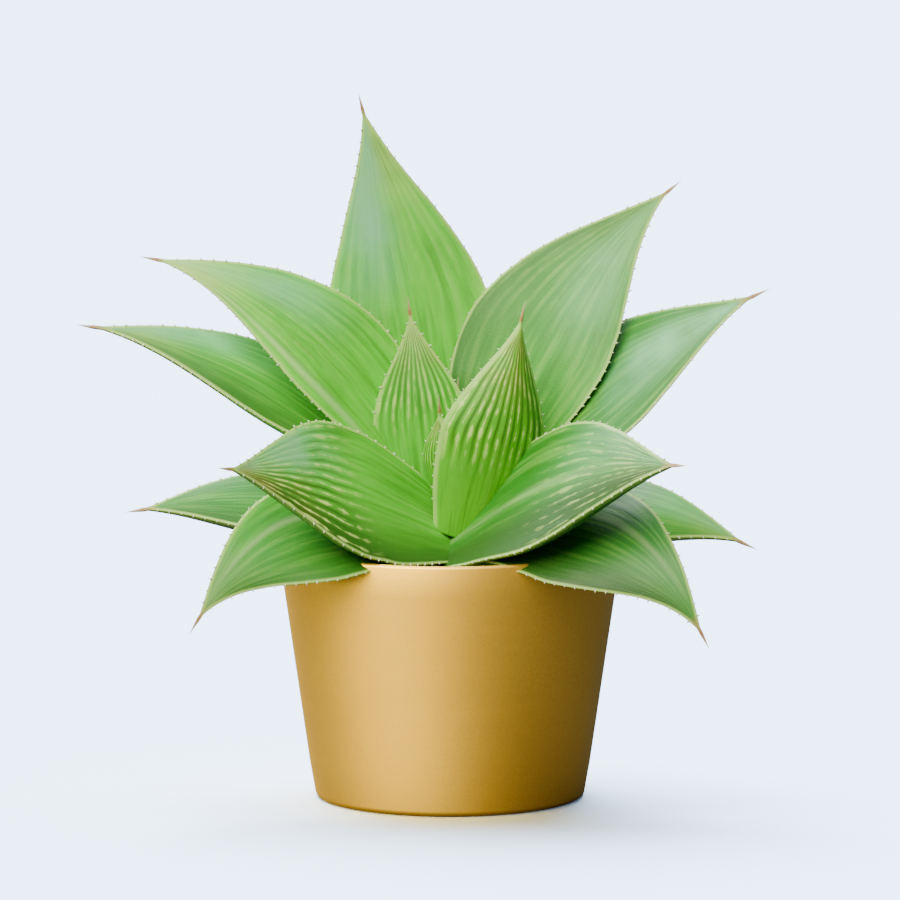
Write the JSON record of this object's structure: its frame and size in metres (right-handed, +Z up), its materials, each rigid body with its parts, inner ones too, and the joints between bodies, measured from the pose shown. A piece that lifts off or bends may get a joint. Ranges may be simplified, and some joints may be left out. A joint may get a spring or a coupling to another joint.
{
  "type": "potted haworthia",
  "caption": "Rosette of thick, pointed, finely toothed succulent leaves with bristle tips, growing from gravel-topped soil in a small tapered metal pot.",
  "frame": {"origin": "middle of the pot's flat base, on the surface that it stands on", "axes": "+Z up along the pot's axis, -Y towards the front of the plant, +X to the right as seen from the front"},
  "size_m": [0.1207, 0.1035, 0.1213],
  "materials": {
    "leaf": "satin",
    "stem": "matte",
    "pot": "satin",
    "soil": "matte",
    "gravel": "matte"
  },
  "bodies": {
    "root": {"pot": "pot", "soil": "soil", "gravel": "gravel", "stem": "stem", "leaf_01": "leaf", "leaf_02": "leaf", "leaf_03": "leaf", "leaf_04": "leaf", "leaf_05": "leaf", "leaf_06": "leaf", "leaf_07": "leaf", "leaf_08": "leaf", "leaf_09": "leaf", "leaf_10": "leaf", "leaf_11": "leaf", "leaf_12": "leaf", "leaf_13": "leaf", "leaf_14": "leaf", "leaf_15": "leaf", "leaf_16": "leaf", "leaf_17": "leaf", "leaf_18": "leaf", "leaf_19": "leaf", "leaf_20": "leaf"}
  },
  "joints": []
}
